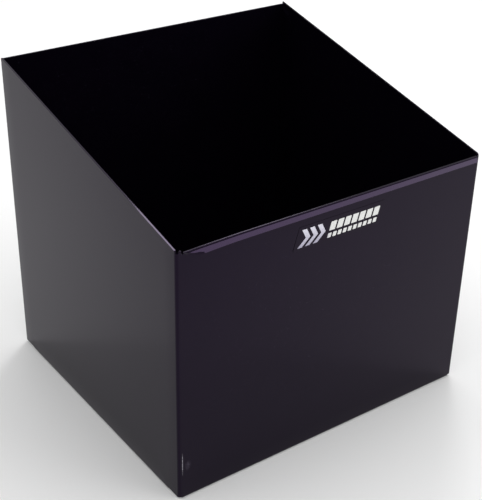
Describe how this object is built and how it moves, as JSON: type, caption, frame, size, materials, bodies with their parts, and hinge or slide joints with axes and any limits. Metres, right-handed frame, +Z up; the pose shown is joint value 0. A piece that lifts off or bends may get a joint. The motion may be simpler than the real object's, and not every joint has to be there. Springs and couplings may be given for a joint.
{
  "type": "slope-sided sheet-metal storage bin",
  "caption": "Open-topped metal bin with a tall back, a low lipped front and sloping side walls, folded from one glossy dark sheet around a welded floor.",
  "frame": {"origin": "middle of the footprint's bounding box, on the surface that the bin stands on", "axes": "+Z up, -Y towards the low front with the lip, +X to the right seen from the front"},
  "size_m": [0.305, 0.28, 0.2907],
  "materials": {
    "powder_coat": "gloss powder coat, near black with a purple tint",
    "coated_weld": "gloss powder coat over weld metal",
    "label_film": "gloss vinyl film",
    "label_print": "silver-white vinyl"
  },
  "bodies": {
    "root": {"folded_shell": "powder_coat", "floor_plate": "powder_coat", "seam_welds": "coated_weld", "floor_weld_front": "coated_weld", "floor_weld_back": "coated_weld", "floor_weld_left": "coated_weld", "floor_weld_right": "coated_weld", "label_film": "label_film", "label_print": "label_print"}
  },
  "joints": []
}
